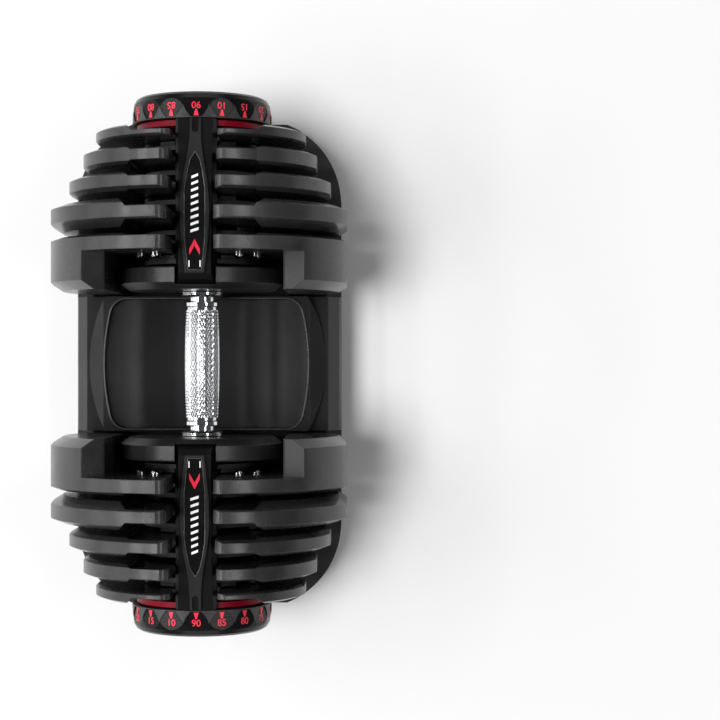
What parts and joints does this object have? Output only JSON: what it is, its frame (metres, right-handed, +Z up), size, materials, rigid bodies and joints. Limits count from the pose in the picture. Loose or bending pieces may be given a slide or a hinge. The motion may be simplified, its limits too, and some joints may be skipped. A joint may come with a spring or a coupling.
{
  "type": "adjustable dumbbell",
  "caption": "Dial-type adjustable dumbbell with slotted plates, knurled chrome grip and bridging spines, standing in its moulded base tray.",
  "frame": {"origin": "centre of the footprint, on the table", "axes": "+Z up, Y along the handle with +Y towards the rear dial, X across the plates"},
  "size_m": [0.242, 0.442, 0.244],
  "materials": {
    "tray_plastic": "satin moulded black",
    "console_plastic": "satin moulded charcoal",
    "rubber_foot": "matt",
    "screw_steel": "zinc plated",
    "post_plastic": "hard moulded",
    "bar_steel": "ground bar",
    "grip_chrome": "knurled and chromed",
    "bright_chrome": "polished",
    "housing_plastic": "satin moulded black",
    "spine_plastic": "satin, darker on the walls",
    "gloss_black": "piano black",
    "red_plastic": "deep crimson",
    "red_print": "printed red",
    "spring_steel": "spring wire",
    "slide_steel": "zinc plated plate",
    "dial_plastic": "satin, pockets darker",
    "cap_plastic": "satin",
    "sleeve_steel": "turned",
    "selector_plastic": "moulded nylon",
    "plate_skin": "iron core under a satin black skin"
  },
  "bodies": {
    "base": {"base_tray": "tray_plastic", "base_console": "console_plastic", "base_feet": "rubber_foot", "base_screws": "screw_steel", "release_posts": "post_plastic"},
    "handle": {"handle_shaft": "bar_steel", "grip_sleeve": "grip_chrome", "grip_rings": "bright_chrome", "hand_flanges": "bright_chrome", "shaft_nuts": "screw_steel", "inner_disc_front": "housing_plastic", "inner_disc_rear": "housing_plastic", "disc_cover_front": "housing_plastic", "disc_cover_rear": "housing_plastic", "cover_screws": "screw_steel", "spine_front": "spine_plastic", "spine_rear": "spine_plastic", "spine_inlay_front": "gloss_black", "spine_inlay_rear": "gloss_black", "lock_ring_front": "red_plastic", "lock_ring_rear": "red_plastic", "lock_spring_front": "spring_steel", "lock_spring_rear": "spring_steel"},
    "lock_front": {"lock_slide_front": "slide_steel"},
    "selector_front": {"dial_front": "dial_plastic", "dial_wedges_front": "red_print", "dial_cap_front": "cap_plastic", "rotor_sleeve_front": "sleeve_steel", "selector_discs_front": "selector_plastic"},
    "plate_a_front": {"plate_a_front": "plate_skin"},
    "plate_b_front": {"plate_b_front": "plate_skin"},
    "plate_c_front": {"plate_c_front": "plate_skin"},
    "plate_d_front": {"plate_d_front": "plate_skin"},
    "plate_e_front": {"plate_e_front": "plate_skin", "plate_rivets_front": "bright_chrome"},
    "lock_rear": {"lock_slide_rear": "slide_steel"},
    "selector_rear": {"dial_rear": "dial_plastic", "dial_wedges_rear": "red_print", "dial_cap_rear": "cap_plastic", "rotor_sleeve_rear": "sleeve_steel", "selector_discs_rear": "selector_plastic"},
    "plate_a_rear": {"plate_a_rear": "plate_skin"},
    "plate_b_rear": {"plate_b_rear": "plate_skin"},
    "plate_c_rear": {"plate_c_rear": "plate_skin"},
    "plate_d_rear": {"plate_d_rear": "plate_skin"},
    "plate_e_rear": {"plate_e_rear": "plate_skin", "plate_rivets_rear": "bright_chrome"}
  },
  "joints": [
    {"name": "handle_lift", "type": "slide", "parent": "base", "child": "handle", "axis": [0, 0, 1], "range_m": [0, 0.26]},
    {"name": "lock_drop_front", "type": "slide", "parent": "handle", "child": "lock_front", "axis": [0, 0, 1], "range_m": [-0.005, 0], "deforming": ["lock_spring_front"]},
    {"name": "dial_turn_front", "type": "hinge", "parent": "handle", "child": "selector_front", "pos_m": [0, -0.2095, 0.121], "axis": [0, -1, 0], "continuous": true},
    {"name": "lift_a_front", "type": "slide", "parent": "base", "child": "plate_a_front", "axis": [0, 0, 1], "range_m": [0, 0.26]},
    {"name": "lift_b_front", "type": "slide", "parent": "base", "child": "plate_b_front", "axis": [0, 0, 1], "range_m": [0, 0.26]},
    {"name": "lift_c_front", "type": "slide", "parent": "base", "child": "plate_c_front", "axis": [0, 0, 1], "range_m": [0, 0.26]},
    {"name": "lift_d_front", "type": "slide", "parent": "base", "child": "plate_d_front", "axis": [0, 0, 1], "range_m": [0, 0.26]},
    {"name": "lift_e_front", "type": "slide", "parent": "base", "child": "plate_e_front", "axis": [0, 0, 1], "range_m": [0, 0.26]},
    {"name": "lock_drop_rear", "type": "slide", "parent": "handle", "child": "lock_rear", "axis": [0, 0, 1], "range_m": [-0.005, 0], "deforming": ["lock_spring_rear"]},
    {"name": "dial_turn_rear", "type": "hinge", "parent": "handle", "child": "selector_rear", "pos_m": [0, 0.2095, 0.121], "axis": [0, 1, 0], "continuous": true},
    {"name": "lift_a_rear", "type": "slide", "parent": "base", "child": "plate_a_rear", "axis": [0, 0, 1], "range_m": [0, 0.26]},
    {"name": "lift_b_rear", "type": "slide", "parent": "base", "child": "plate_b_rear", "axis": [0, 0, 1], "range_m": [0, 0.26]},
    {"name": "lift_c_rear", "type": "slide", "parent": "base", "child": "plate_c_rear", "axis": [0, 0, 1], "range_m": [0, 0.26]},
    {"name": "lift_d_rear", "type": "slide", "parent": "base", "child": "plate_d_rear", "axis": [0, 0, 1], "range_m": [0, 0.26]},
    {"name": "lift_e_rear", "type": "slide", "parent": "base", "child": "plate_e_rear", "axis": [0, 0, 1], "range_m": [0, 0.26]}
  ],
  "couplings": [
    {"joint": "lock_drop_front", "follows": "handle_lift", "ratio": -0.0192},
    {"joint": "lift_a_front", "follows": "handle_lift", "ratio": 1},
    {"joint": "lift_b_front", "follows": "handle_lift", "ratio": 1},
    {"joint": "lift_c_front", "follows": "handle_lift", "ratio": 1},
    {"joint": "lift_d_front", "follows": "handle_lift", "ratio": 1},
    {"joint": "lift_e_front", "follows": "handle_lift", "ratio": 1},
    {"joint": "lock_drop_rear", "follows": "handle_lift", "ratio": -0.0192},
    {"joint": "lift_a_rear", "follows": "handle_lift", "ratio": 1},
    {"joint": "lift_b_rear", "follows": "handle_lift", "ratio": 1},
    {"joint": "lift_c_rear", "follows": "handle_lift", "ratio": 1},
    {"joint": "lift_d_rear", "follows": "handle_lift", "ratio": 1},
    {"joint": "lift_e_rear", "follows": "handle_lift", "ratio": 1}
  ]
}
